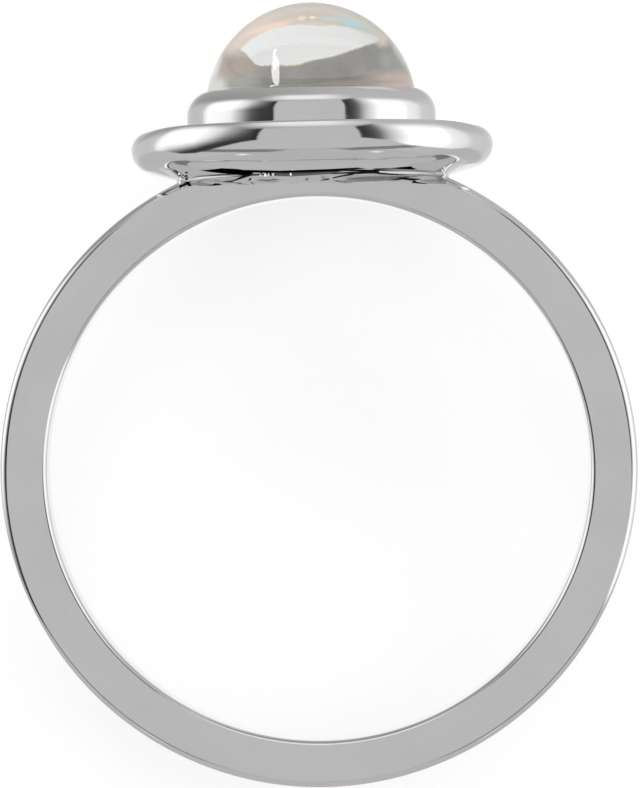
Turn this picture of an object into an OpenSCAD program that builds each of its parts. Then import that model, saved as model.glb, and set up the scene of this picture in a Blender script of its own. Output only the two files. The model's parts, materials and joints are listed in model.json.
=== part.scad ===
// Cabochon ring: a plain band, a saucer flange, a round bezel and one domed stone.
// Each piece is drawn upright first: the finger hole runs along Y about the origin and the
// head stands up +Z. The whole ring is then laid on its side on the floor, as it rests by itself.

/* [Band] */
// Finger hole across
finger_d = 17.3; // [14.9:0.1:21.4]
// Band thickness, from the finger hole to the outside
band_t = 1.48; // [1.3:0.02:1.7]
// Band width along the finger
band_w = 2.2; // [1.8:0.1:3.2]
// Rounding of the band's outer edges
band_edge = 0.2; // [0.1:0.05:0.4]
// Rounding of the finger hole's edges
hole_edge = 0.1; // [0.05:0.05:0.3]

/* [Head] */
// Metal left between the finger hole and the head's flat underside
bridge_t = 0.52; // [0.4:0.02:0.8]
// Gallery across, the low drum where the band runs into the head
gallery_d = 8.72; // [8:0.02:9]
// Gallery height
gallery_h = 0.1; // [0.05:0.05:0.15]

/* [Flange] */
// Flange across
flange_d = 11.54; // [11.2:0.02:14]
// Height of the flange's top above the head's underside
flange_top = 1.64; // [1.64:0.02:2]
// Rounding of the rim's upper side
rim_round = 0.55; // [0.3:0.05:0.55]
// Rounding of the rim's lower side
under_round = 0.75; // [0.5:0.05:0.75]
// Height of the lower rounding's centre above the head's underside
under_z = 1.08; // [0.9:0.02:1.08]
// Depth of the channel between the bezel and the rim
channel_depth = 0.2; // [0.1:0.05:0.3]

/* [Bezel and stone] */
// Bezel across
bezel_d = 7.94; // [7.5:0.02:8.2]
// Height of the lip's crest above the head's underside
lip_top = 2.92; // [2.8:0.02:3.2]
// Rounding of the lip
lip_round = 0.8; // [0.5:0.05:0.9]
// Stone across
stone_d = 6.72; // [6:0.02:7]
// Height of the stone's widest line, where its dome starts, above the head's underside
dome_z = 2.35; // [2.2:0.05:2.6]
// Height of the stone's straight side below the dome
girdle_h = 0.65; // [0.4:0.05:0.7]
// Rounding of the stone's lower edge
girdle_edge = 0.1; // [0.05:0.05:0.2]
// Space between the stone and its metal
stone_gap = 0.03; // [0.02:0.01:0.06]

/* [Hidden] */
$fn = 128;

finger_r = finger_d / 2;
band_r = finger_r + band_t;
head_z = finger_r + bridge_t;
gallery_r = gallery_d / 2;
gallery_edge = gallery_h / 2;
flange_r = flange_d / 2;
bezel_r = bezel_d / 2;
stone_r = stone_d / 2;
stone_base = dome_z - girdle_h;

// The channel is an arc that starts at the bezel's foot and ends at the rim's crest.
rim_crest_r = flange_r - rim_round;
channel_half = (rim_crest_r - bezel_r) / 2;
channel_arc = (pow(channel_half, 2) + pow(channel_depth, 2)) / (2 * channel_depth);

// The ring rests on two rounded edges: the rim's lower rounding and, at the other end, the
// band's outer edge. Both are circles in the plane X = 0, written here as [Y, Z, radius].
rim_rest = [flange_r - under_round, head_z + under_z, under_round];
band_rest = [band_w / 2 - band_edge, -(band_r - band_edge), band_edge];
rest_run = [rim_rest.x - band_rest.x, rim_rest.y - band_rest.y];

// Angle of the finger hole's axis from the vertical, once both edges touch the floor
rest_tilt = atan2(rest_run.x, rest_run.y) + asin((rim_rest.z - band_rest.z) / norm(rest_run));

// Height of the finger hole's centre above the floor
rest_height = band_rest.x * cos(rest_tilt) - band_rest.y * sin(rest_tilt) + band_rest.z;

// How far the ring reaches along Y from that centre: the stone's end, then the band's end
dome_reach = (head_z + dome_z) * cos(rest_tilt) + stone_r;
band_reach = -band_rest.y * cos(rest_tilt) + band_rest.x * sin(rest_tilt) + band_rest.z;

// Angle of the line that touches circles a and b, [x, y, radius], on the right of a to b
function touch_angle(a, b) =
    let (run = [b.x - a.x, b.y - a.y])
    atan2(run.y, run.x) - acos((a.z - b.z) / norm(run));

// The point of circle c in direction angle
function on_circle(c, angle) = [c.x + c.z * cos(angle), c.y + c.z * sin(angle)];

// An outline drawn tight round the circles, which are listed anticlockwise; radius 0 is a corner
module tight_outline(circles) {
    last = len(circles) - 1;
    polygon([
        for (i = [0:last])
            let (a = circles[i], b = circles[i == last ? 0 : i + 1], angle = touch_angle(a, b))
            each [on_circle(a, angle), on_circle(b, angle)]
    ]);
    for (c = circles)
        if (c.z > 0)
            translate([c.x, c.y]) circle(r = c.z);
}

// Lays the upright ring on its side on the floor, with its box centred on X and Y
module at_rest() {
    translate([0, (band_reach - dome_reach) / 2, rest_height])
        rotate([rest_tilt - 90, 0, 0])
            children();
}

// Band section: flat sides, straight inside and outside, four rounded edges
module band_section() {
    tight_outline([
        [finger_r + hole_edge, hole_edge - band_w / 2, hole_edge],
        [band_r - band_edge, band_edge - band_w / 2, band_edge],
        [band_r - band_edge, band_w / 2 - band_edge, band_edge],
        [finger_r + hole_edge, band_w / 2 - hole_edge, hole_edge],
    ]);
}

// Gallery section: a low drum with a softened lower edge, sunk a little into the flange
module gallery_section() {
    tight_outline([
        [0, 0, 0],
        [gallery_r - gallery_edge, gallery_edge, gallery_edge],
        [gallery_r, 2 * gallery_h, 0],
        [0, 2 * gallery_h, 0],
    ]);
}

// Flange section: a saucer with a sloping underside, a full rounded rim and a shallow channel
module flange_section() {
    difference() {
        tight_outline([
            [0, gallery_h, 0],
            [gallery_r, gallery_h, 0],
            [flange_r - under_round, under_z, under_round],
            [flange_r - rim_round, flange_top - rim_round, rim_round],
            [0, flange_top, 0],
        ]);
        translate([bezel_r + channel_half, flange_top - channel_depth + channel_arc])
            circle(r = channel_arc);
    }
}

// Bezel section: a cup wall on the flange, with a rounded lip that closes on the stone
module bezel_section() {
    tight_outline([
        [0, flange_top / 2, 0],
        [bezel_r, flange_top / 2, 0],
        [bezel_r - lip_round, lip_top - lip_round, lip_round],
        [0, lip_top, 0],
    ]);
}

// Stone section, grown by gap all round: a flat base, a short straight side and a round dome
module stone_section(gap) {
    tight_outline([
        [0, stone_base - gap, 0],
        [stone_r - girdle_edge, stone_base + girdle_edge, girdle_edge + gap],
        [stone_r + gap, dome_z, 0],
        [0, dome_z, 0],
    ]);
    translate([0, dome_z])
        intersection() {
            circle(r = stone_r + gap);
            square(stone_r + gap);
        }
}

module shank() {
    rotate([90, 0, 0]) rotate_extrude() band_section();
}

module head() {
    translate([0, 0, head_z])
        rotate_extrude()
            difference() {
                union() {
                    gallery_section();
                    flange_section();
                    bezel_section();
                }
                stone_section(stone_gap);
            }
}

// All the metal, soldered into one piece
module ring_mount() {
    color("silver")
        at_rest()
            union() {
                shank();
                head();
            }
}

// The stone, held in the bezel by its lip
module cabochon() {
    color([0.86, 0.88, 0.87])
        at_rest()
            translate([0, 0, head_z]) rotate_extrude() stone_section(0);
}

ring_mount();
cabochon();
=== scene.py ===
"""Cabochon ring in polished white metal, lying on its side on a pale studio floor.

It has two pieces: the setting, with its band, head and grains of solder, and the opal. The
studio and both materials are node trees, built from the values that stand above each of them.
"""
import json
from math import acos, asin, atan2, ceil, cos, hypot, pi, radians, sin, sqrt

import bmesh
import bpy
from mathutils import Matrix, Vector


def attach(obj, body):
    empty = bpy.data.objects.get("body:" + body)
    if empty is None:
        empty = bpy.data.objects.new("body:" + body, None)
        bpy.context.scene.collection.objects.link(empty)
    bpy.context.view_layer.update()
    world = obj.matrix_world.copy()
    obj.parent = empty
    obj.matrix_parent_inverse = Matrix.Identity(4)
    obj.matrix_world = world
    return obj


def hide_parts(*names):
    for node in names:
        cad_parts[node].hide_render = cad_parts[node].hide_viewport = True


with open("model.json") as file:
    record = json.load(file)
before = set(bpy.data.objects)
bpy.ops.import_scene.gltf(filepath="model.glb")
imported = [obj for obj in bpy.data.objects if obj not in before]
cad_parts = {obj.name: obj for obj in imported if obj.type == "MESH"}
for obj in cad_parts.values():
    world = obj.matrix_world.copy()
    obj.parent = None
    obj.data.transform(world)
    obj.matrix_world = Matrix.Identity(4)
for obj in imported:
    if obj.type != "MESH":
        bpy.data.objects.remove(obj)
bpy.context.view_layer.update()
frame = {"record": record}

MM = 0.001
WHITE = (1, 1, 1, 1)
BLACK = (0, 0, 0, 1)
NOISE_MIDDLE = 0.5

# Fineness of the turned shapes: steps round the band and the head, and the angle of one step
# along a rounding. Points closer than MERGE_WITHIN metres are one, and no edge is shorter than
# SHORTEST_EDGE. An edge is sharp from SHARP_FROM degrees on. Elsewhere the larger faces decide
# how a point is shaded, as firmly as LARGE_FACES says, 100 being the most.
SHANK_TURNS = 480
HEAD_TURNS = 320
ARC_STEP = radians(4)
MERGE_WITHIN = 1e-8
SHORTEST_EDGE = 1e-9
SHARP_FROM = 30
LARGE_FACES = 100

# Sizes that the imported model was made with, in mm. Heights of the head's parts are above HEAD_Z.
# Only the band's edges are softer here, as the polisher left them.
FINGER_R = 8.65
BAND_R = 10.13
BAND_W = 2.2
BAND_EDGE = 0.3
HOLE_EDGE = 0.2
HEAD_Z = 9.17
GALLERY_R = 4.36
GALLERY_H = 0.1
FLANGE_R = 5.77
FLANGE_TOP = 1.64
RIM_ROUND = 0.55
RIM_MID = 1.08
UNDER_ROUND = 0.75
CHANNEL_DEPTH = 0.2
BEZEL_R = 3.97
LIP_TOP = 2.92
LIP_ROUND = 0.8
STONE_R = 3.36
DOME_Z = 2.35
GIRDLE_H = 0.65
GIRDLE_EDGE = 0.1
STONE_GAP = 0.03

# The ring as drawn upright has its finger hole along Y and its head up +Z. This is where the
# centre of that hole lies in the frame, and the ways that the upright ring faces there.
mount = frame["record"]["mounts"][0]
HOLE_CENTRE = Vector(mount["pos_m"])
TO_VIEWER = Vector(mount["axis"])
RIGHT = Vector((1, 0, 0))
TO_HEAD = TO_VIEWER.cross(RIGHT)


def ring_point(x, y, z):
    """A point of the upright ring, in mm, as a point of the frame, in metres."""
    return HOLE_CENTRE + MM * (x * RIGHT - y * TO_VIEWER + z * TO_HEAD)


# The camera, in mm on the upright ring: it stands at EYE, looks at AIM, and is rolled by ROLL
# degrees. The picture is PICTURE_H pixels high, with PX_PER_MM pixels to a millimetre at AIM.
PICTURE_H = 788
PX_PER_MM = 31.3
SENSOR = 36.0
CLIP_START = 0.01
CLIP_END = 20
EYE = (1.85, -165.0, 2.16)
AIM = (0.08, 0.0, 2.37)
ROLL = 1.24


def make_camera():
    data = bpy.data.cameras.new("camera")
    data.sensor_fit = "AUTO"
    data.sensor_width = SENSOR
    eye = ring_point(*EYE)
    aim = ring_point(*AIM)
    span = PICTURE_H / PX_PER_MM * MM
    data.lens = SENSOR * (eye - aim).length / span
    data.clip_start = CLIP_START
    data.clip_end = CLIP_END
    camera = bpy.data.objects.new("camera", data)
    back = (eye - aim).normalized()
    side = TO_HEAD.cross(back).normalized()
    up = back.cross(side)
    turn = Matrix.Rotation(radians(-ROLL), 3, back)
    rotation = Matrix((turn @ side, turn @ up, back)).transposed()
    camera.matrix_world = Matrix.Translation(eye) @ rotation.to_4x4()
    bpy.context.collection.objects.link(camera)
    bpy.context.scene.camera = camera


class Nodes:
    """Short ways to add and join the nodes of one tree."""

    # Which sockets of a mix node hold its first value, its second value and its result
    MIX_SOCKETS = {"FLOAT": (2, 3, 0), "VECTOR": (4, 5, 1), "RGBA": (6, 7, 2)}

    def __init__(self, tree):
        self.tree = tree

    def add(self, kind, **settings):
        node = self.tree.nodes.new(kind)
        for name, value in settings.items():
            setattr(node, name, value)
        return node

    def feed(self, socket, value):
        if isinstance(value, bpy.types.NodeSocket):
            self.tree.links.new(value, socket)
        else:
            socket.default_value = value

    def math(self, operation, *values):
        node = self.add("ShaderNodeMath", operation=operation)
        for socket, value in zip(node.inputs, values):
            self.feed(socket, value)
        return node.outputs[0]

    def product(self, first, *others):
        for other in others:
            first = self.math("MULTIPLY", first, other)
        return first

    def dot(self, vector, way):
        node = self.add("ShaderNodeVectorMath", operation="DOT_PRODUCT")
        self.feed(node.inputs[0], vector)
        self.feed(node.inputs[1], way)
        return node.outputs["Value"]

    def step(self, value, start, end):
        """0 at start and before it, 1 at end and past it, smooth between."""
        node = self.add("ShaderNodeMapRange", interpolation_type="SMOOTHSTEP")
        self.feed(node.inputs["Value"], value)
        self.feed(node.inputs["From Min"], start)
        self.feed(node.inputs["From Max"], end)
        return node.outputs["Result"]

    def band(self, value, low, high, soft):
        """1 where value lies between low and high, falling to 0 over soft on either side."""
        return self.product(self.step(value, low - soft, low), self.step(value, high + soft, high))

    def mixed(self, kind, share, a, b):
        node = self.add("ShaderNodeMix", data_type=kind)
        first, second, result = self.MIX_SOCKETS[kind]
        self.feed(node.inputs["Factor"], share)
        self.feed(node.inputs[first], a)
        self.feed(node.inputs[second], b)
        return node.outputs[result]

    def between(self, share, a, b):
        """Value a where share is 0, b where it is 1."""
        return self.mixed("FLOAT", share, a, b)

    def mix(self, share, a, b):
        """Colour a where share is 0, b where it is 1."""
        return self.mixed("RGBA", share, a, b)

    def curve(self, value, points):
        """A value that runs straight from point to point, (input, output); two points close
        together make an abrupt change."""
        low, high = points[0][0], points[-1][0]
        ramp = self.add("ShaderNodeFloatCurve")
        base = min(level for place, level in points)
        scale = max(level for place, level in points) - base
        line = ramp.mapping.curves[0]
        shown = [((place - low) / (high - low), (level - base) / scale) for place, level in points]
        line.points[0].location = shown[0]
        line.points[1].location = shown[-1]
        for spot in shown[1:-1]:
            line.points.new(*spot)
        for spot in line.points:
            spot.handle_type = "VECTOR"
        ramp.mapping.update()
        share = self.math("DIVIDE", self.math("SUBTRACT", value, low), high - low)
        self.feed(ramp.inputs["Value"], share)
        return self.math("MULTIPLY_ADD", ramp.outputs["Value"], scale, base)

    def noise(self, vector, scale, detail):
        node = self.add("ShaderNodeTexNoise")
        self.feed(node.inputs["Vector"], vector)
        self.feed(node.inputs["Scale"], scale)
        self.feed(node.inputs["Detail"], detail)
        return node.outputs["Fac"]

    def swing(self, vector, scale, detail):
        """Noise to either side of 0."""
        return self.math("SUBTRACT", self.noise(vector, scale, detail), NOISE_MIDDLE)


# The studio as the ring sees it. A turn is degrees to the right of the viewer, a tilt is degrees
# towards the head. The viewer's side is a grey wall between two black flags. Beyond each flag is
# a long white softbox, and behind the ring a grey room. How bright they are, (turn, level):
SIDE_LEVELS = [
    (-180, 1.00), (-168, 0.75), (-150, 0.62), (-130, 0.60), (-121, 0.66), (-117, 0.95), (-111, 1.20),
    (-80, 1.20), (-72, 1.00), (-67, 0.88), (-57, 0.44), (-46, 0.17), (-38, 0.04), (-34.6, 0.03),
    (-33.6, 0.57), (0, 0.565), (31.5, 0.56), (32.5, 0.04), (36, 0.05), (41, 0.09), (45, 0.18),
    (48, 0.36), (52, 0.60), (57, 0.82), (62, 1.05), (66, 1.20), (98, 1.20), (102, 1.02), (115, 0.93),
    (120, 0.84), (126, 0.70), (150, 0.64), (168, 0.72), (180, 1.00),
]
# The softboxes' and flags' upper edge and lower edge, (turn, tilt)
UPPER_EDGE = [
    (-180, 12), (-150, 14), (-132, 24), (-120, 27), (-107, 33), (-95, 38), (-80, 41), (-62, 41),
    (-45, 37), (32, 38), (48, 44), (61, 38), (77, 35), (94, 30), (110, 25), (120, 18), (180, 12),
]
LOWER_EDGE = [
    (-180, -8), (-118, -9), (-108, -14), (-98, -27), (-88, -31), (-72, -25.5), (-56.5, -14),
    (-45, -4), (-37, 0), (-34, 1), (32, 2), (36, 1), (41, -2), (50, -6), (60, -18), (70, -25),
    (90, -27), (110, -25), (122, -17), (180, -12),
]
EDGE_SOFT = 3
# Beyond this far to either side, the softboxes' upper edge is softer
HAZY_FROM = (46, 62)
HAZY_SOFT = 9
# The left softbox fades downwards into the flag below it: the tilt where it is half as bright
FADE_TILT = [
    (-180, -40), (-125, -22), (-106, -10), (-92, -8), (-80, -4), (-67, 5), (-57, 12), (-46, 17),
    (-36, 18), (-34, -80), (180, -80),
]
FADE_SPREAD = 17
FADED_LEVEL = 0.045
# The ceiling is darker on the left. It changes between these two places, where -1 is the far
# left and 1 the far right.
ROOM_SPREAD = (-0.8, 0.7)
ROOM_LEVELS = (0.34, 0.54)
# The wall on the viewer's side starts between two tilts, and ends between two turns
WALL_FROM = (-48, -44)
WALL_SIDES = (115, 95)
WALL_LEVEL = 0.565
GROUND_LEVEL = 0.525
# Soft boxes in the ceiling, and small lamps low down on either side: turns and tilts, each as
# (from, to, softness), and level
CEILING_BOXES = [
    ((-22, 8, 52), (50, 58, 14), 0.96),
    ((143, 157, 8), (46, 56, 7), 0.68),
]
LOW_LAMPS = [
    ((-66, -62, 6), (-55, -53, 3), 1.0),
    ((60, 64, 6), (-57, -55, 3), 1.0),
]
# The wall's foot: a dark skirting that rises to either side by SKIRTING_BOW times the turn
# squared. Its depth and level differ between the middle and the sides, and change between the
# two turns of SKIRTING_SIDES. SKIRTING_BAND is where it lies, in depths from its tilt.
SKIRTING_TILT = -43
SKIRTING_BOW = 0.0042
SKIRTING_TURNS = (-78, 72, 10)
SKIRTING_SIDES = (12, 38)
SKIRTING_DEPTHS = (3, 15)
SKIRTING_LEVELS = (0.42, 0.235)
SKIRTING_BAND = (-0.9, -0.1, 0.15)
LIGHT_TINT = (1.0, 0.995, 0.985, 1)


class StudioPlaces(Nodes):
    """Nodes of the world, with the turn and the tilt that a place of the studio lies at."""

    def __init__(self, tree):
        super().__init__(tree)
        way = self.add("ShaderNodeTexCoord").outputs["Generated"]
        self.right = self.dot(way, RIGHT)
        self.turn = self.math("DEGREES", self.math("ARCTAN2", self.right, self.dot(way, TO_VIEWER)))
        self.tilt = self.math("DEGREES", self.math("ARCSINE", self.dot(way, TO_HEAD)))
        self.off_middle = self.math("ABSOLUTE", self.turn)

    def with_boxes(self, level, boxes):
        """The level with soft boxes laid over it."""
        for turns, tilts, box_level in boxes:
            inside = self.product(self.band(self.turn, *turns), self.band(self.tilt, *tilts))
            level = self.between(inside, level, box_level)
        return level


def ceiling_level(tree):
    level = tree.between(tree.step(tree.right, *ROOM_SPREAD), *ROOM_LEVELS)
    return tree.with_boxes(level, CEILING_BOXES)


def ground_level(tree):
    """The wall on the viewer's side, its skirting, and the ground."""
    wall = tree.product(tree.step(tree.tilt, *WALL_FROM), tree.step(tree.off_middle, *WALL_SIDES))
    level = tree.between(wall, GROUND_LEVEL, WALL_LEVEL)
    sideways = tree.step(tree.off_middle, *SKIRTING_SIDES)
    bow = tree.product(tree.turn, tree.turn, SKIRTING_BOW)
    below = tree.math("SUBTRACT", tree.math("SUBTRACT", tree.tilt, SKIRTING_TILT), bow)
    depth = tree.math("DIVIDE", below, tree.between(sideways, *SKIRTING_DEPTHS))
    skirting = tree.product(tree.band(depth, *SKIRTING_BAND), tree.band(tree.turn, *SKIRTING_TURNS))
    return tree.between(skirting, level, tree.between(sideways, *SKIRTING_LEVELS))


def side_level(tree):
    """The softboxes and flags, as they fade downwards on the left."""
    boxes = tree.curve(tree.turn, SIDE_LEVELS)
    faded = tree.math("MINIMUM", boxes, FADED_LEVEL)
    fade = tree.math("SUBTRACT", tree.tilt, tree.curve(tree.turn, FADE_TILT))
    return tree.between(tree.step(fade, -FADE_SPREAD, FADE_SPREAD), faded, boxes)


def studio_level(tree):
    """Softboxes and flags between their upper and lower edges, with the ceiling above them and
    the ground below."""
    upper = tree.math("SUBTRACT", tree.tilt, tree.curve(tree.turn, UPPER_EDGE))
    lower = tree.math("SUBTRACT", tree.tilt, tree.curve(tree.turn, LOWER_EDGE))
    soft = tree.between(tree.step(tree.off_middle, *HAZY_FROM), EDGE_SOFT, HAZY_SOFT)
    under_ceiling = tree.step(tree.math("DIVIDE", upper, soft), 1, -1)
    level = tree.between(under_ceiling, ceiling_level(tree), side_level(tree))
    level = tree.between(tree.step(lower, -EDGE_SOFT, EDGE_SOFT), ground_level(tree), level)
    return tree.with_boxes(level, LOW_LAMPS)


def light_studio():
    world = bpy.data.worlds.new("studio")
    bpy.context.scene.world = world
    world.use_nodes = True
    world.node_tree.nodes.clear()
    tree = StudioPlaces(world.node_tree)
    background = tree.add("ShaderNodeBackground")
    tree.feed(background.inputs["Color"], LIGHT_TINT)
    tree.feed(background.inputs["Strength"], studio_level(tree))
    output = tree.add("ShaderNodeOutputWorld")
    tree.feed(output.inputs["Surface"], background.outputs["Background"])


# The floor's half width in metres, and the finish of its sheet
FLOOR_REACH = 3.0
FLOOR_GREY = (0.86, 0.86, 0.86, 1)
FLOOR_ROUGHNESS = 0.9
FLOOR_SHINE = 0.2
FLOOR_GLOW = 0.58


def make_floor():
    """A plain white light table. The metal mirrors the studio's room in its place, as it does in a
    ring that is held up before a far backdrop."""
    mesh = bpy.data.meshes.new("floor")
    r = FLOOR_REACH
    mesh.from_pydata([(-r, -r, 0), (r, -r, 0), (r, r, 0), (-r, r, 0)], [], [(0, 1, 2, 3)])
    floor = bpy.data.objects.new("floor", mesh)
    bpy.context.collection.objects.link(floor)
    floor.visible_glossy = False
    material = bpy.data.materials.new("floor")
    material.use_nodes = True
    shader = material.node_tree.nodes["Principled BSDF"]
    shader.inputs["Base Color"].default_value = FLOOR_GREY
    shader.inputs["Roughness"].default_value = FLOOR_ROUGHNESS
    shader.inputs["Specular IOR Level"].default_value = FLOOR_SHINE
    shader.inputs["Emission Color"].default_value = WHITE
    shader.inputs["Emission Strength"].default_value = FLOOR_GLOW
    mesh.materials.append(material)


class RingPlaces(Nodes):
    """Nodes of a material, with where a point of the surface lies on the upright ring, in mm:
    across to the right, near towards the viewer, and at which height."""

    def __init__(self, tree):
        super().__init__(tree)
        node = self.add("ShaderNodeVectorMath", operation="SUBTRACT")
        self.feed(node.inputs[0], self.add("ShaderNodeTexCoord").outputs["Object"])
        self.feed(node.inputs[1], HOLE_CENTRE)
        from_centre = node.outputs["Vector"]
        self.across = self.math("DIVIDE", self.dot(from_centre, RIGHT), MM)
        self.near = self.math("DIVIDE", self.dot(from_centre, TO_VIEWER), MM)
        self.height = self.math("DIVIDE", self.dot(from_centre, TO_HEAD), MM)
        self.place = self.combine(self.across, self.near, self.height)

    def combine(self, x, y, z):
        node = self.add("ShaderNodeCombineXYZ")
        for socket, value in zip(node.inputs, (x, y, z)):
            self.feed(socket, value)
        return node.outputs[0]

    def length(self, a, b):
        return self.math("SQRT", self.math("ADD", self.product(a, a), self.product(b, b)))

    def trace(self, x, z, points):
        """1 along a line drawn from left to right through points (x, z, reach), out to its reach."""
        middle = self.curve(x, [(at, height) for at, height, reach in points])
        reach = self.curve(x, [(at, reach) for at, height, reach in points])
        gap = self.math("ABSOLUTE", self.math("SUBTRACT", z, middle))
        return self.step(self.math("SUBTRACT", reach, gap), -TRACE_SOFT, TRACE_SOFT)

    def bump(self, height, distance, normal=None):
        """A relief of height, which runs from 0 to 1, over distance in mm, on top of normal."""
        node = self.add("ShaderNodeBump")
        self.feed(node.inputs["Distance"], distance * MM)
        self.feed(node.inputs["Height"], height)
        if normal:
            self.feed(node.inputs["Normal"], normal)
        return node.outputs["Normal"]


# Finish of the metal. Lengths are in mm. A noise is its scale and detail, and a range is where
# it starts to show and where it shows in full. Fine lines that the polishing wheel left run
# round the turned forms, stretched along their way, with a slow waviness over all faces. The
# head's lines start over HEAD_FROM, in heights from its underside.
HEAD_FROM = (-0.03, 0.0)
LINE_STRETCH = 14
LINE_NOISE = (9.0, 4.0)
LINE_RANGE = (0.3, 0.7)
LINE_DEPTH = 0.0012
LINE_GREYS = ((0.864, 0.853, 0.864, 1), (0.878, 0.867, 0.878, 1))
WAVE_SIZE = 1.6
WAVE_DETAIL = 1.0
WAVE_DEPTH = 0.004
# Faint darker mottling, and where the polish is duller
MOTTLE_NOISE = (0.45, 6.0)
MOTTLE_RANGE = (0.35, 0.65)
MOTTLE_SHARE = 0.05
MOTTLE_GREY = (0.2, 0.2, 0.2, 1)
DULL_NOISE = (3.0, 5.0)
DULL_RANGE = (0.35, 0.7)
ROUGHNESS = (0.03, 0.075)
# The rougher cast underside of the head, found by its height and by how straight it faces down
UNDERSIDE_HEIGHTS = (-0.01, 0.01, 0.01)
UNDERSIDE_FACING = (-0.8, -0.95)
CAST_SIZE = 0.42
CAST_DETAIL = 3.0
CAST_STRETCH = 0.6
CAST_RANGE = (0.35, 0.6)
CAST_DEPTH = 0.045
CAST_GREY = (0.60, 0.595, 0.59, 1)
# The crevice at that underside's edge, where shade is painted: heights above it, reach from the
# head's axis and ends across, each as (from, to, softness). It wobbles up and down, and starts
# over CREVICE_NEAR, so that it lies on the far side alone.
CREVICE_HEIGHTS = (0.03, 0.10, 0.015)
CREVICE_REACH = (4.1, 4.6, 0.08)
CREVICE_ENDS = (-3.6, 3.5, 0.5)
CREVICE_NEAR = (1.0, 0.0)
CREVICE_WOBBLE = 0.16
# Black is painted in the crevice and along the soldered seam, as painted shade and painted dark
# reflections. It starts HOLE_CLEAR outwards from the finger hole, and keeps off the grains of
# solder, which start GRAIN_CLEAR outwards from the gallery and reach GRAIN_LIFT above it.
RAGGED_NOISE = (1.4, 5.0)
PAINTED_SHADE_BLACK = (0.02, 0.019, 0.018, 1)
PAINTED_SHADE_ROUGHNESS = 0.35
HOLE_CLEAR = (0.05, 0.15)
GRAIN_CLEAR = (0.002, 0.01)
GRAIN_LIFT = 0.004
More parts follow.
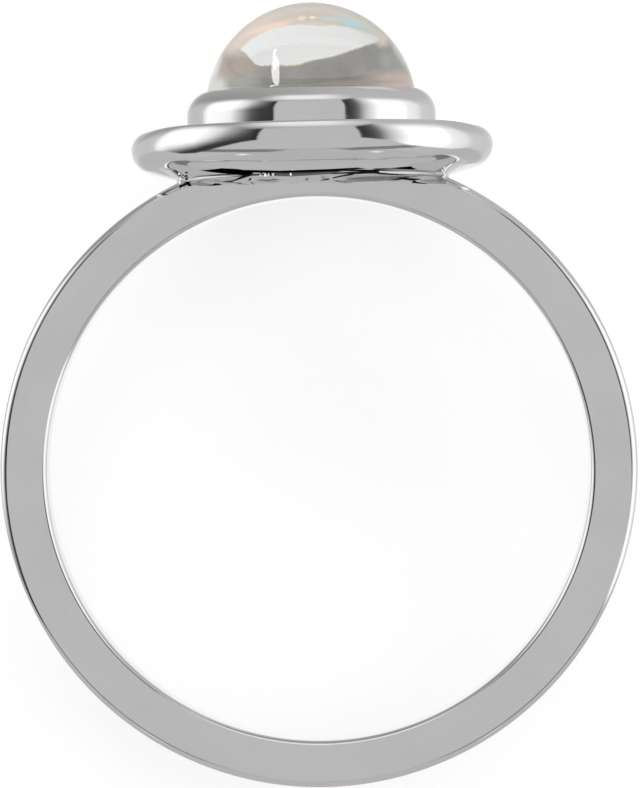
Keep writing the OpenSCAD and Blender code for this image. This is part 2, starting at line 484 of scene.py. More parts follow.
# Dark traces painted along the soldered seam, on both sides of the band, as painted shade and
# painted dark reflections: how dark, then the points of each as (across, height, half width).
# Heights lean up and widths spread a little towards the viewer. A trace has soft sides, and a
# half width of END fades it out.
SEAM_LEAN = 0.0424
SEAM_SPREAD = 0.006
SEAM_WOBBLE = 0.012
TRACE_SOFT = 0.008
END = -0.01
SEAM_SHADE_TRACES = {
    "long_line": (1.0, [
        (-3.65, 9.60, END), (-3.30, 9.57, 0.03), (-2.85, 9.56, 0.08), (-2.40, 9.52, 0.09),
        (-2.15, 9.48, 0.09), (-1.85, 9.52, 0.04), (-1.00, 9.49, 0.03), (0.70, 9.51, 0.03),
        (1.50, 9.54, 0.025), (1.85, 9.52, END),
    ]),
    "left_fork": (1.0, [
        (-3.15, 9.23, END), (-2.60, 9.23, 0.02), (-2.40, 9.28, 0.025), (-2.15, 9.37, 0.05),
        (-2.00, 9.41, 0.05), (-1.80, 9.42, END),
    ]),
    "left_nick": (1.0, [(-2.08, 9.22, END), (-1.97, 9.28, 0.04), (-1.91, 9.31, END)]),
    "left_blot": (1.0, [
        (-3.55, 9.09, END), (-3.20, 9.12, 0.02), (-3.13, 9.14, 0.04), (-2.98, 9.14, 0.03),
        (-2.86, 9.12, END),
    ]),
    "under_grains": (0.9, [
        (-1.88, 9.22, END), (-1.65, 9.25, 0.016), (-1.40, 9.235, 0.016), (-1.18, 9.25, 0.016),
        (-0.91, 9.23, END),
    ]),
    "wall_shade": (0.78, [
        (-1.60, 9.40, END), (-1.20, 9.41, 0.045), (-0.63, 9.40, 0.065), (-0.20, 9.42, 0.07),
        (0.15, 9.43, 0.065), (0.55, 9.44, 0.06), (1.10, 9.46, END),
    ]),
    "wall_top": (0.9, [
        (-1.15, 9.47, END), (-0.90, 9.45, 0.035), (-0.40, 9.45, 0.04), (0.15, 9.47, 0.045),
        (0.65, 9.50, 0.04), (1.10, 9.52, 0.035), (1.35, 9.53, END),
    ]),
    "middle_nick": (0.9, [(-0.28, 9.21, END), (-0.16, 9.25, 0.025), (-0.09, 9.27, END)]),
    "middle_stroke": (0.9, [
        (0.13, 9.18, END), (0.36, 9.20, 0.015), (0.53, 9.23, 0.02), (0.57, 9.25, END),
    ]),
    "right_branch": (1.0, [
        (0.60, 9.24, END), (0.70, 9.27, 0.02), (1.00, 9.32, 0.025), (1.32, 9.37, 0.03),
        (1.50, 9.39, END),
    ]),
    "right_line": (1.0, [
        (0.42, 9.39, END), (0.70, 9.40, 0.02), (1.10, 9.41, 0.025), (1.48, 9.40, 0.04),
        (1.86, 9.42, 0.05), (2.04, 9.43, 0.065), (2.20, 9.37, 0.03), (2.55, 9.34, 0.025),
        (3.52, 9.28, END),
    ]),
    "right_wedge": (1.0, [
        (1.86, 9.52, END), (2.06, 9.51, 0.015), (2.55, 9.52, 0.01), (2.82, 9.52, 0.03),
        (3.17, 9.52, 0.05), (3.28, 9.49, 0.02), (3.43, 9.47, END),
    ]),
    "right_squiggle": (1.0, [
        (2.30, 9.15, END), (2.62, 9.17, 0.02), (2.87, 9.20, 0.035), (3.16, 9.16, 0.04),
        (3.39, 9.16, 0.02), (3.55, 9.19, END),
    ]),
    "right_blot": (1.0, [
        (3.13, 9.04, END), (3.24, 9.09, 0.05), (3.35, 9.05, 0.025), (3.58, 9.02, 0.015),
        (3.83, 9.00, END),
    ]),
    "right_shade": (0.4, [
        (0.80, 9.13, END), (1.20, 9.17, 0.065), (1.57, 9.20, 0.08), (2.15, 9.22, 0.08),
        (2.80, 9.23, 0.04), (3.10, 9.22, END),
    ]),
    "right_end_shade": (0.4, [
        (3.33, 9.12, END), (3.74, 9.09, 0.07), (4.19, 9.07, 0.08), (4.44, 9.01, END),
    ]),
    "left_end_shade": (0.45, [
        (-4.05, 9.18, END), (-3.61, 9.16, 0.06), (-3.19, 9.13, 0.02), (-3.03, 9.11, END),
    ]),
    "grain_gap_top": (1.0, [(-4.09, 9.53, END), (-3.99, 9.53, 0.03), (-3.92, 9.52, END)]),
    "grain_gap_middle": (1.0, [(-4.08, 9.42, END), (-4.02, 9.43, 0.04), (-3.94, 9.42, END)]),
    "grain_gap_low": (1.0, [(-4.08, 9.32, END), (-4.02, 9.33, 0.04), (-3.94, 9.31, END)]),
    "shoulder_line": (1.0, [
        (-4.93, 8.74, END), (-4.80, 8.82, 0.075), (-4.51, 8.97, 0.06), (-4.12, 9.14, 0.04),
        (-3.99, 9.20, 0.045), (-3.88, 9.25, END),
    ]),
    "right_haze": (0.32, [
        (2.15, 9.40, END), (2.63, 9.41, 0.07), (3.43, 9.36, 0.09), (3.94, 9.30, 0.05),
        (4.26, 9.24, END),
    ]),
    "left_haze": (0.22, [
        (-3.92, 9.34, END), (-3.60, 9.37, 0.06), (-2.90, 9.40, 0.05), (-2.32, 9.42, END),
    ]),
    "left_dash": (0.35, [
        (-2.89, 9.86, END), (-2.70, 9.86, 0.025), (-1.61, 9.83, 0.025), (-1.42, 9.82, END),
    ]),
    "right_dash": (0.35, [
        (1.20, 9.84, END), (1.39, 9.83, 0.025), (2.41, 9.82, 0.025), (2.61, 9.82, END),
    ]),
}


class MetalPlaces(RingPlaces):
    """Places on the metal too: the height above the head's underside, the distances from the
    head's axis and from the finger hole's, and the raggedness there."""

    def __init__(self, tree):
        super().__init__(tree)
        self.above = self.math("SUBTRACT", self.height, HEAD_Z)
        self.head_r = self.length(self.across, self.near)
        self.band_r = self.length(self.across, self.height)
        self.flat = self.combine(self.product(self.across, CAST_STRETCH), self.near, 0.0)
        self.ragged = self.swing(self.flat, *RAGGED_NOISE)


def polishing_lines(tree):
    """Lines round the head's axis on the head, and round the finger hole on the band."""
    head_turn = tree.math("ARCTAN2", tree.across, tree.near)
    band_turn = tree.math("ARCTAN2", tree.across, tree.height)
    round_head = tree.product(head_turn, BEZEL_R / LINE_STRETCH)
    round_band = tree.product(band_turn, BAND_R / LINE_STRETCH)
    on_head = tree.combine(round_head, tree.height, tree.head_r)
    on_band = tree.combine(round_band, tree.near, tree.band_r)
    place = tree.mixed("VECTOR", tree.step(tree.above, *HEAD_FROM), on_band, on_head)
    return tree.noise(place, *LINE_NOISE)


def cast_underside(tree):
    """1 on the head's flat underside, between its rim and the band."""
    facing = tree.dot(tree.add("ShaderNodeNewGeometry").outputs["Normal"], TO_HEAD)
    level = tree.band(tree.above, *UNDERSIDE_HEIGHTS)
    return tree.product(level, tree.step(facing, *UNDERSIDE_FACING))


def crevice(tree):
    """1 in the crevice at the edge of the head's underside, where shade is painted."""
    wobbling = tree.math("MULTIPLY_ADD", tree.ragged, CREVICE_WOBBLE, tree.above)
    return tree.product(
        tree.band(wobbling, *CREVICE_HEIGHTS),
        tree.band(tree.head_r, *CREVICE_REACH),
        tree.band(tree.across, *CREVICE_ENDS),
        tree.step(tree.near, *CREVICE_NEAR),
    )


def on_grain(tree):
    """1 on the grains of solder that stand out from the gallery."""
    start, end = (GALLERY_R + out for out in GRAIN_CLEAR)
    low_down = tree.step(tree.above, GALLERY_H + GRAIN_LIFT, GALLERY_H)
    return tree.product(tree.step(tree.head_r, start, end), low_down)


def painted_seam_shade(tree):
    """How much painted shade a place holds: that of the crevice and of all traces."""
    spread = tree.math("MULTIPLY_ADD", tree.near, SEAM_SPREAD, 1.0)
    x = tree.product(tree.across, spread)
    z = tree.math("MULTIPLY_ADD", tree.near, SEAM_LEAN, tree.height)
    z = tree.math("MULTIPLY_ADD", tree.ragged, SEAM_WOBBLE, z)
    painted_shade = crevice(tree)
    for share, points in SEAM_SHADE_TRACES.values():
        trace = tree.product(tree.trace(x, z, points), share)
        painted_shade = tree.math("MAXIMUM", painted_shade, trace)
    start, end = (FINGER_R + out for out in HOLE_CLEAR)
    off_hole = tree.step(tree.band_r, start, end)
    return tree.product(painted_shade, off_hole, tree.math("SUBTRACT", 1.0, on_grain(tree)))


def metal_grey(tree, lines, cast, underside):
    grey = tree.mix(tree.step(lines, *LINE_RANGE), *LINE_GREYS)
    mottled = tree.mix(MOTTLE_SHARE, grey, MOTTLE_GREY)
    grey = tree.mix(tree.step(tree.noise(tree.place, *MOTTLE_NOISE), *MOTTLE_RANGE), mottled, grey)
    return tree.mix(tree.product(underside, tree.step(cast, *CAST_RANGE)), grey, CAST_GREY)


def metal_relief(tree, lines, cast, underside):
    waves = tree.noise(tree.place, 1 / WAVE_SIZE, WAVE_DETAIL)
    normal = tree.bump(lines, LINE_DEPTH)
    normal = tree.bump(waves, WAVE_DEPTH, normal)
    return tree.bump(tree.product(cast, underside), CAST_DEPTH, normal)


def metal_material():
    material = bpy.data.materials.new("polished_white_metal")
    material.use_nodes = True
    shader = material.node_tree.nodes["Principled BSDF"]
    tree = MetalPlaces(material.node_tree)
    lines = polishing_lines(tree)
    cast = tree.noise(tree.flat, 1 / CAST_SIZE, CAST_DETAIL)
    underside = cast_underside(tree)
    painted_shade = painted_seam_shade(tree)
    grey = metal_grey(tree, lines, cast, underside)
    dull = tree.step(tree.noise(tree.place, *DULL_NOISE), *DULL_RANGE)
    roughness = tree.between(dull, *ROUGHNESS)
    # Painted shade: black, with no reflection, in the crevice and along the seam
    tree.feed(shader.inputs["Base Color"], tree.mix(painted_shade, grey, PAINTED_SHADE_BLACK))
    tree.feed(shader.inputs["Specular Tint"], tree.mix(painted_shade, WHITE, BLACK))
    tree.feed(shader.inputs["Roughness"], tree.between(painted_shade, roughness, PAINTED_SHADE_ROUGHNESS))
    tree.feed(shader.inputs["Normal"], metal_relief(tree, lines, cast, underside))
    shader.inputs["Metallic"].default_value = 1.0
    return material


# The opal, in units of its radius: X to the right and Z up from the middle of its widest line, as
# the viewer sees the near side. A clear window lies between a veil low down and a warmer cap
# above. These are the low veil's upper edge and the cap's lower edge, as (X, Z).
VEIL_EDGE = [
    (-1, 0.72), (-0.72, 0.64), (-0.65, 0.565), (-0.60, 0.525), (-0.55, 0.465), (-0.50, 0.42),
    (-0.44, 0.40), (-0.12, 0.41), (0.245, 0.484), (0.635, 0.606), (0.72, 0.70), (1, 0.78),
]
CAP_EDGE = [
    (-1, 0.2), (-0.70, 0.46), (-0.66, 0.55), (-0.63, 0.58), (-0.595, 0.615), (-0.54, 0.66),
    (-0.46, 0.705), (-0.37, 0.74), (-0.17, 0.775), (0.07, 0.77), (0.315, 0.755), (0.51, 0.705),
    (0.605, 0.665), (0.66, 0.63), (0.72, 0.55), (1, 0.3),
]
# Both lean up towards the viewer, by VEIL_LEAN at the stone's front, and are ragged and soft.
# Beyond WINDOW_ENDS the low veil's edge is softer still. A glowing white haze, painted light,
# fills the window's upper part, over WINDOW_HAZE in heights from the cap's edge.
VEIL_LEAN = 0.052
WINDOW_ENDS = (0.645, 0.69)
WINDOW_HAZE = (-0.22, -0.06)
LOW_SOFT = 0.014
END_SOFT = 0.12
CAP_SOFT = 0.012
LOW_JAG = 0.45
CAP_JAG = 0.8
JAG_NOISE = (2.4, 4.0)
JAG_DEPTH = 0.07
# Soft patches of colour in the veil: middle (X, Z), reach (X, Z), lean in degrees, colour. Each
# starts to show and shows in full at two shares of its reach, PATCH_FADE, made ragged. They glow
# with the veil, as painted light; lip_glint is a painted highlight, and left_rim and right_rim
# paint light along the dome's edges.
PATCH_FADE = (1.15, 0.25)
PATCH_JAG = 4.0
PATCHES = {
    "left_blush": ((-0.79, 0.46), (0.16, 0.24), 20, (0.53, 0.44, 0.39)),
    "brown": ((-0.66, 0.40), (0.24, 0.17), -20, (0.31, 0.265, 0.23)),
    "left_teal": ((-0.89, 0.19), (0.15, 0.18), 0, (0.65, 0.66, 0.64)),
    "right_teal": ((0.80, 0.38), (0.20, 0.14), -35, (0.345, 0.35, 0.335)),
    "right_blush": ((0.80, 0.23), (0.32, 0.13), 0, (0.60, 0.485, 0.43)),
    "low_warm": ((0.30, 0.20), (0.60, 0.05), 3, (0.38, 0.33, 0.30)),
    "low_pale": ((-0.60, 0.25), (0.20, 0.08), 0, (0.34, 0.34, 0.325)),
    "right_rim": ((0.86, 0.51), (0.34, 0.07), -60, (0.58, 0.565, 0.545)),
    "right_shoulder": ((0.675, 0.64), (0.12, 0.09), -50, (0.62, 0.56, 0.50)),
    "left_rim": ((-0.915, 0.37), (0.22, 0.06), 67, (0.73, 0.71, 0.69)),
    "lip_glint": ((0.05, 0.198), (1.10, 0.015), 0, (0.80, 0.68, 0.58)),
    "shoulder": ((-0.55, 0.78), (0.35, 0.30), 40, (0.66, 0.58, 0.52)),
    "left_pale": ((-0.75, 0.67), (0.18, 0.17), 45, (0.66, 0.58, 0.525)),
    "peach": ((-0.37, 0.762), (0.30, 0.045), 14, (0.84, 0.65, 0.52)),
    "pale_teal": ((0.42, 0.79), (0.30, 0.08), -24, (0.55, 0.60, 0.57)),
    "high_teal": ((0.20, 0.825), (0.13, 0.03), -8, (0.55, 0.64, 0.61)),
    "teal": ((0.40, 0.78), (0.12, 0.03), -20, (0.42, 0.69, 0.71)),
    "amber": ((-0.065, 0.84), (0.05, 0.028), 8, (0.84, 0.71, 0.55)),
    "gold": ((0.035, 0.845), (0.04, 0.018), 0, (0.90, 0.80, 0.58)),
}
# The low veil's grey is a painted reflection of the metal under the stone, and the window's white is
# painted light
LOW_VEIL_PAINTED_REFLECTION = (0.25, 0.245, 0.23, 1)
CAP_GREY = (0.61, 0.545, 0.485, 1)
CLEAR_TINT = (0.82, 0.825, 0.82, 1)
WINDOW_PAINTED_WHITE = (0.69, 0.695, 0.69, 1)
# Pale clouds and dark specks in the veil
CLOUD_NOISE = (0.9, 4.0)
CLOUD_RANGE = (0.3, 0.75)
CLOUD_SHARE = 0.06
CLOUD_WHITE = (0.9, 0.9, 0.88, 1)
SPECK_NOISE = (9.0, 3.0)
SPECK_RANGE = (0.3, 0.7)
SPECK_SHARE = 0.06
# A warm fringe on part of the low veil's edge: about that edge and along X, each as (from, to,
# softness)
FRINGE_GOLD = (0.86, 0.76, 0.55, 1)
FRINGE_EDGE = (-0.012, 0.0, 0.012)
FRINGE_ENDS = (-0.15, 0.5, 0.2)
FRINGE_CLOUDS = (0.35, 0.65)
FRINGE_SHARE = 0.55
# How much of the glass the veil hides. Its colour comes in over VEIL_SHOWS, as it thickens, and
# glows as painted light. The near side starts over NEAR_SIDE, in shares of the radius from the
# middle towards the viewer.
VEIL_DENSITY = 0.85
CAP_DENSITY = 0.78
VEIL_SHOWS = (0.0, 0.3)
NEAR_SIDE = (-0.35, 0.05)
# The far side's veil is thinner, and clear about the spot that the window looks through
FAR_DENSITY = 0.6
FAR_CLEAR_Z = 0.2
FAR_CLEAR = (0.45, 0.75)
# How strongly the veil's colours glow: painted light
VEIL_PAINTED_GLOW = 0.21
OPAL_IOR = 1.45
OPAL_ROUGHNESS = 0.035


class StonePlaces(RingPlaces):
    """Places on the opal too, in units of its radius, with the clouds and the raggedness there."""

    def __init__(self, tree):
        super().__init__(tree)
        self.x = self.math("DIVIDE", self.across, STONE_R)
        above = self.math("SUBTRACT", self.height, HEAD_Z + DOME_Z)
        z = self.math("DIVIDE", above, STONE_R)
        self.z = self.math("MULTIPLY_ADD", self.near, VEIL_LEAN / STONE_R, z)
        self.clouds = self.noise(self.place, *CLOUD_NOISE)
        self.jag = self.product(self.swing(self.place, *JAG_NOISE), JAG_DEPTH)

    def above_edge(self, edge, jag_share):
        height = self.math("MULTIPLY_ADD", self.jag, jag_share, self.z)
        return self.math("SUBTRACT", height, self.curve(self.x, edge))

    def patch(self, middle, reach, lean):
        """1 in the middle of a soft patch, and 0 beyond its reach."""
        off_x = self.math("SUBTRACT", self.x, middle[0])
        off_z = self.math("SUBTRACT", self.z, middle[1])
        c, s = cos(radians(lean)), sin(radians(lean))
        along = self.math("MULTIPLY_ADD", off_x, c, self.product(off_z, s))
        over = self.math("MULTIPLY_ADD", off_z, c, self.product(off_x, -s))
        out = self.length(self.math("DIVIDE", along, reach[0]), self.math("DIVIDE", over, reach[1]))
        out = self.math("ADD", out, self.product(self.jag, PATCH_JAG))
        return self.step(out, *PATCH_FADE)


def low_veil(tree, low_edge):
    """1 in the veil below the window, with a crisp edge under it and a soft one beyond its ends."""
    beyond_ends = tree.step(tree.math("ABSOLUTE", tree.x), *WINDOW_ENDS)
    crisp = tree.step(low_edge, LOW_SOFT, -LOW_SOFT)
    return tree.between(beyond_ends, crisp, tree.step(low_edge, END_SOFT, -END_SOFT))


# The veil's colours, which also glow as painted light
def veil_colour_and_painted_light(tree, low):
    colour = tree.mix(low, CAP_GREY, LOW_VEIL_PAINTED_REFLECTION)
    pale = tree.mix(CLOUD_SHARE, colour, CLOUD_WHITE)
    colour = tree.mix(tree.step(tree.clouds, *CLOUD_RANGE), colour, pale)
    dark = tree.mix(SPECK_SHARE, colour, BLACK)
    colour = tree.mix(tree.step(tree.noise(tree.place, *SPECK_NOISE), *SPECK_RANGE), dark, colour)
    for *patch, tint in PATCHES.values():
        colour = tree.mix(tree.patch(*patch), colour, (*tint, 1))
    return colour


def fringe(tree, low_edge):
    return tree.product(
        tree.band(low_edge, *FRINGE_EDGE),
        tree.band(tree.x, *FRINGE_ENDS),
        tree.step(tree.clouds, *FRINGE_CLOUDS),
        FRINGE_SHARE,
    )


def veil_density(tree, low, above_low, cap_edge):
    """How much of the glass the veil hides: low veil, cap, haze under the cap, and far side."""
    high = tree.product(tree.step(cap_edge, -CAP_SOFT, CAP_SOFT), above_low)
    haze = tree.product(tree.step(cap_edge, *WINDOW_HAZE), above_low)
    cap = tree.product(haze, tree.between(high, VEIL_DENSITY, CAP_DENSITY))
    cap = tree.math("MAXIMUM", cap, tree.product(high, CAP_DENSITY))
    veil = tree.math("MULTIPLY_ADD", low, VEIL_DENSITY, cap)
    from_spot = tree.length(tree.x, tree.math("SUBTRACT", tree.z, FAR_CLEAR_Z))
    far_share = tree.product(tree.step(from_spot, *FAR_CLEAR), FAR_DENSITY)
    start, end = (share * STONE_R for share in NEAR_SIDE)
    return tree.product(veil, tree.between(tree.step(tree.near, start, end), far_share, 1.0))


def stone_material():
    """Clear opal: real glass, with a veil under its surface that scatters light in soft colours and
    glows in them, as painted light.
    """
    material = bpy.data.materials.new("clear_opal")
    material.use_nodes = True
    shader = material.node_tree.nodes["Principled BSDF"]
    tree = StonePlaces(material.node_tree)
    low_edge = tree.above_edge(VEIL_EDGE, LOW_JAG)
    cap_edge = tree.above_edge(CAP_EDGE, CAP_JAG)
    low = low_veil(tree, low_edge)
    above_low = tree.math("SUBTRACT", 1.0, low)
    window = tree.product(tree.step(cap_edge, CAP_SOFT, -CAP_SOFT), above_low)
    colour = tree.mix(window, veil_colour_and_painted_light(tree, low), WINDOW_PAINTED_WHITE)
    colour = tree.mix(fringe(tree, low_edge), colour, FRINGE_GOLD)
    veil = veil_density(tree, low, above_low, cap_edge)
    veil_shows = tree.step(veil, *VEIL_SHOWS)
    tree.feed(shader.inputs["Base Color"], tree.mix(veil_shows, CLEAR_TINT, colour))
    tree.feed(shader.inputs["Transmission Weight"], tree.math("SUBTRACT", 1.0, veil))
    # The veil's colours glow: painted light, with a painted reflection low down
    tree.feed(shader.inputs["Emission Color"], tree.mix(veil_shows, BLACK, colour))
    shader.inputs["Emission Strength"].default_value = VEIL_PAINTED_GLOW
    shader.inputs["IOR"].default_value = OPAL_IOR
    shader.inputs["Roughness"].default_value = OPAL_ROUGHNESS
    return material


def touch_angle(a, b):
    """Angle of the line that touches circles a and b, (x, y, radius), on the right of a to b."""
    run = (b[0] - a[0], b[1] - a[1])
    return atan2(run[1], run[0]) - acos((a[2] - b[2]) / hypot(*run))


def arc(x, y, r, start, end, steps=None):
    """Points of an arc from angle start to end, close enough for a mirror finish."""
    steps = steps or max(2, ceil(abs(end - start) / ARC_STEP))
    angles = [start + (end - start) * i / steps for i in range(steps + 1)]
    return [(x + r * cos(a), y + r * sin(a)) for a in angles]


def tight_outline(circles):
    """The outline drawn tight round circles (x, y, radius), listed anticlockwise; radius 0 is a
    corner. The line is left open between the last circle and the first."""
    points = []
    for i, circle in enumerate(circles):
        arrives = touch_angle(circles[i - 1], circle)
        leaves = touch_angle(circle, circles[(i + 1) % len(circles)])
        if circle[2] == 0:
            points.append(circle[:2])
            continue
        while leaves < arrives:
            leaves += 2 * pi
        points += arc(*circle, arrives, leaves)
    return points


def lathe(name, outline_at, place, turns, closed):
    """Turns an outline of (radius, height) in mm about its axis, and places each point. The
    outline may change round the axis, but always has as many points. A closed one runs on from
    its last point to its first."""
    verts = []
    for turn in range(turns):
        angle = 2 * pi * turn / turns
        verts += [place(r * cos(angle), r * sin(angle), h) for r, h in outline_at(angle)]
    count = len(verts) // turns
    faces = []
    for turn in range(turns):
        here, there = turn * count, (turn + 1) % turns * count
        for i in range(count if closed else count - 1):
            j = (i + 1) % count
            faces.append((here + i, there + i, there + j, here + j))
    mesh = bpy.data.meshes.new(name)
    mesh.from_pydata(verts, [], faces)
    merge_poles(mesh)
    piece = bpy.data.objects.new(name, mesh)
    bpy.context.collection.objects.link(piece)
    return piece


def merge_poles(mesh):
    """Makes one point of those that lie together on the axis, and turns all faces outwards."""
    shape = bmesh.new()
    shape.from_mesh(mesh)
    bmesh.ops.remove_doubles(shape, verts=shape.verts, dist=MERGE_WITHIN)
    bmesh.ops.dissolve_degenerate(shape, edges=shape.edges, dist=SHORTEST_EDGE)
    bmesh.ops.recalc_face_normals(shape, faces=shape.faces)
    shape.to_mesh(mesh)
    shape.free()


def about_hole(x, y, h):
    """Places a point that is turned about the finger hole's axis."""
    return ring_point(x, h, y)


def about_head(x, y, h):
    """Places a point that is turned about the head's axis, above its underside."""
    return ring_point(x, y, HEAD_Z + h)


def make_shank():
    outline = tight_outline([
        (FINGER_R + HOLE_EDGE, HOLE_EDGE - BAND_W / 2, HOLE_EDGE),
        (BAND_R - BAND_EDGE, BAND_EDGE - BAND_W / 2, BAND_EDGE),
        (BAND_R - BAND_EDGE, BAND_W / 2 - BAND_EDGE, BAND_EDGE),
        (FINGER_R + HOLE_EDGE, BAND_W / 2 - HOLE_EDGE, HOLE_EDGE),
    ])
    return lathe("ring_metal", lambda angle: outline, about_hole, SHANK_TURNS, True)


# The polisher's wheel has rounded the rim most at its left and right ends. Towards the viewer and
# the back its side stays flatter, with a crisper upper edge. SOFT_ENDS says how far off the ends
# it starts to be crisper and where it is as crisp as it gets. The side's rounding is always
# larger than the edge's, by SIDE_MORE where both are softest.
CRISP_SIDE = 1.15
CRISP_EDGE = 0.12
CRISP_TOP = 1.67
CRISP_UNDER = 0.80
SIDE_MORE = 0.01
SOFT_ENDS = (radians(14), radians(48))
RIM_STEPS = 20


def blend(soft, crisp, share):
    return soft + (crisp - soft) * share


def crispness(angle):
    """0 at the left and right ends of the rim, 1 towards the viewer and the back, smooth
    between."""
    off_end = asin(abs(sin(angle)))
    share = min(1, max(0, (off_end - SOFT_ENDS[0]) / (SOFT_ENDS[1] - SOFT_ENDS[0])))
    return share * share * (3 - 2 * share)


def rim_outline(angle):
    """The flange's edge from its underside to its crest: three roundings, each running on from
    the last."""
    crisp = crispness(angle)
    near = crisp if sin(angle) < 0 else 0
    under_r = blend(UNDER_ROUND, CRISP_UNDER, near)
    side_r = blend(RIM_ROUND + SIDE_MORE, CRISP_SIDE, crisp)
    edge_r = blend(RIM_ROUND, CRISP_EDGE, crisp)
    top = blend(FLANGE_TOP, CRISP_TOP, crisp)
    under = touch_angle((GALLERY_R, GALLERY_H, 0), (FLANGE_R - under_r, RIM_MID, under_r))
    inside = side_r - edge_r
    turn = asin(max(0, top - edge_r - RIM_MID) / inside)
    edge = (FLANGE_R - side_r + inside * cos(turn), RIM_MID + inside * sin(turn))
    points = arc(FLANGE_R - under_r, RIM_MID, under_r, under, 0, RIM_STEPS)
    points += arc(FLANGE_R - side_r, RIM_MID, side_r, 0, turn, RIM_STEPS)[1:]
    points += arc(*edge, edge_r, turn, pi / 2, RIM_STEPS)[1:]
    return points


def channel_outline(crest):
    """The shallow channel between the crest of the rim and the foot of the bezel."""
    half = (crest[0] - BEZEL_R) / 2
    radius = (half ** 2 + CHANNEL_DEPTH ** 2) / (2 * CHANNEL_DEPTH)
    spread = asin(half / radius)
    middle = (BEZEL_R + half, FLANGE_TOP - CHANNEL_DEPTH + radius)
    return arc(*middle, radius, spread - pi / 2, -spread - pi / 2, RIM_STEPS)[1:]


def head_outline(angle):
    """Outer side of the head from its underside up to the stone, then down into the pocket."""
    gallery_edge = GALLERY_H / 2
    pocket_r = STONE_R + STONE_GAP
    seat_z = DOME_Z - GIRDLE_H
    lip = (BEZEL_R - LIP_ROUND, LIP_TOP - LIP_ROUND, LIP_ROUND)
    on_lip, on_sphere = sphere_meets_lip(lip, pocket_r)
    rim = rim_outline(angle)
    outline = [(0, 0)]
    outline += arc(GALLERY_R - gallery_edge, gallery_edge, gallery_edge, -pi / 2, 0)
    outline.append((GALLERY_R, GALLERY_H))
    outline += rim + channel_outline(rim[-1])
    outline += arc(*lip, 0, on_lip)
    outline += arc(0, DOME_Z, pocket_r, on_sphere, 0)[1:]
    outline += arc(STONE_R - GIRDLE_EDGE, seat_z + GIRDLE_EDGE, GIRDLE_EDGE + STONE_GAP, 0, -pi / 2)
    outline.append((0, seat_z - STONE_GAP))
    return outline


def sphere_meets_lip(lip, pocket_r):
    """Angles, on the lip's circle and on the pocket's sphere, of the point where they cross."""
    run = (lip[0], lip[1] - DOME_Z)
    gap = hypot(*run)
    along = (gap ** 2 + pocket_r ** 2 - lip[2] ** 2) / (2 * gap)
    half = acos(along / pocket_r)
    on_sphere = atan2(run[1], run[0]) + half
    x, y = pocket_r * cos(on_sphere), DOME_Z + pocket_r * sin(on_sphere)
    return atan2(y - lip[1], x - lip[0]), on_sphere


def make_head():
    return lathe("head", head_outline, about_head, HEAD_TURNS, False)


def shade(piece):
    """Smooth faces with true flats: sharp only where two faces meet at a corner."""
    mesh = piece.data
    mesh.shade_smooth()
    mesh.set_sharp_from_angle(angle=radians(SHARP_FROM))
    even = piece.modifiers.new("even", "WEIGHTED_NORMAL")
    even.keep_sharp = True
    even.weight = LARGE_FACES


# Two narrow strip lights, end to end, that glint on the stone alone: both ends of each as
# (turn, tilt) seen from there, its width in metres and its power. They stand STRIP_AWAY metres
# from the stone, light no veil in it, and don't show through it.
STRIPS = [
    ((-37.5, 19), (-54, 50), 0.042, 0.27),
    ((-46, 37), (-67, 57.5), 0.014, 0.08),
]
STRIP_AWAY = 0.3


def direction(turn, tilt):
    turn, tilt = radians(turn), radians(tilt)
    return cos(tilt) * sin(turn) * RIGHT + cos(tilt) * cos(turn) * TO_VIEWER + sin(tilt) * TO_HEAD


def make_strip(middle, low, high, wide, watts):
    """A strip light from low to high, with its face towards the middle."""
    data = bpy.data.lights.new("strip", "AREA")
    data.shape = "ELLIPSE"
    data.size = wide
    data.size_y = (high - low).length
    data.energy = watts
    data.diffuse_factor = 0.0
    lamp = bpy.data.objects.new("strip", data)
    centre = (low + high) / 2
    along = (high - low).normalized()
    back = (centre - middle).normalized()
    back = (back - back.dot(along) * along).normalized()
    rotation = Matrix((along.cross(back), along, back)).transposed()
    lamp.matrix_world = Matrix.Translation(centre) @ rotation.to_4x4()
    lamp.visible_transmission = False
    bpy.context.collection.objects.link(lamp)
    return lamp


def light_stone(stone):
    middle = ring_point(0, 0, HEAD_Z + DOME_Z)
    lit = bpy.data.collections.new("lit_by_strips")
    lit.objects.link(stone)
    for *ends, wide, watts in STRIPS:
        low, high = (middle + STRIP_AWAY * direction(*end) for end in ends)
        lamp = make_strip(middle, low, high, wide, watts)
        lamp.light_linking.receiver_collection = lit


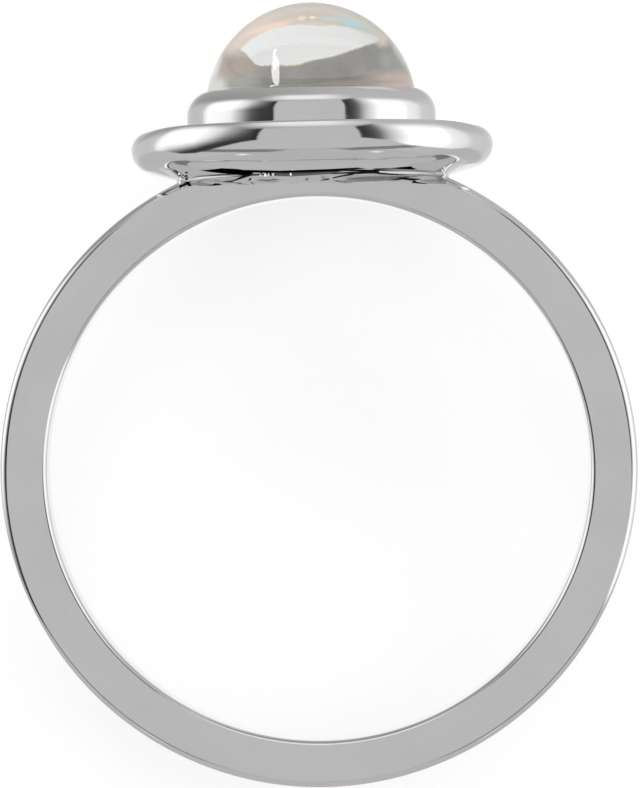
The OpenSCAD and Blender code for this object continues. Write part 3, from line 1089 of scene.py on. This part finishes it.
# Grains of solder left on the seam: across, height above the head's underside, size. They stand
# out from the gallery by GRAINS_OUT, and further where the flange's underside slopes out above it,
# and are turned by GRAIN_TURN so that an edge of each faces the viewer.
GRAINS = [
    (-4.17, 0.00, 0.09), (-4.15, 0.12, 0.095), (-4.15, 0.24, 0.08),
    (4.15, -0.01, 0.06), (4.18, 0.05, 0.06), (4.14, 0.11, 0.06), (4.18, 0.17, 0.06),
    (4.15, 0.23, 0.055),
    (-1.57, 0.05, 0.05), (-1.40, 0.05, 0.09), (-1.31, 0.05, 0.09), (-1.17, 0.055, 0.08),
    (-0.61, 0.05, 0.075),
]
GRAINS_OUT = 0.02
UNDERSIDE_SLOPE = 0.296
GRAIN_TURN = radians(45)


def make_grains():
    """Small blocks, whose faces catch the softboxes."""
    shape = bmesh.new()
    turned = Matrix.Rotation(GRAIN_TURN, 4, TO_HEAD)
    for across, height, size in GRAINS:
        out = GALLERY_R + GRAINS_OUT + max(0, height - GALLERY_H) / UNDERSIDE_SLOPE
        middle = ring_point(across, -sqrt(out ** 2 - across ** 2), HEAD_Z + height)
        bmesh.ops.create_cube(shape, size=size * MM, matrix=Matrix.Translation(middle) @ turned)
    mesh = bpy.data.meshes.new("grains")
    shape.to_mesh(mesh)
    shape.free()
    grains = bpy.data.objects.new("grains", mesh)
    bpy.context.collection.objects.link(grains)
    return grains


def make_metal():
    """The whole setting as one piece: the head's turned form joined on the band."""
    band, head, grains = make_shank(), make_head(), make_grains()
    with bpy.context.temp_override(active_object=band, selected_editable_objects=[band, head, grains]):
        bpy.ops.object.join()
    band.data.materials.append(metal_material())
    shade(band)
    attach(band, "root")
    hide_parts("ring_mount")


def make_stone():
    outline = [(0, DOME_Z - GIRDLE_H)]
    outline += arc(STONE_R - GIRDLE_EDGE, DOME_Z - GIRDLE_H + GIRDLE_EDGE, GIRDLE_EDGE, -pi / 2, 0)
    outline += arc(0, DOME_Z, STONE_R, 0, pi / 2)
    stone = lathe("opal_dome", lambda angle: outline, about_head, HEAD_TURNS, False)
    stone.data.materials.append(stone_material())
    shade(stone)
    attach(stone, "root")
    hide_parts("cabochon")
    light_stone(stone)


make_camera()
light_studio()
make_floor()
make_metal()
make_stone()

scene = bpy.context.scene
scene.view_settings.view_transform = "Standard"
scene.view_settings.look = "None"
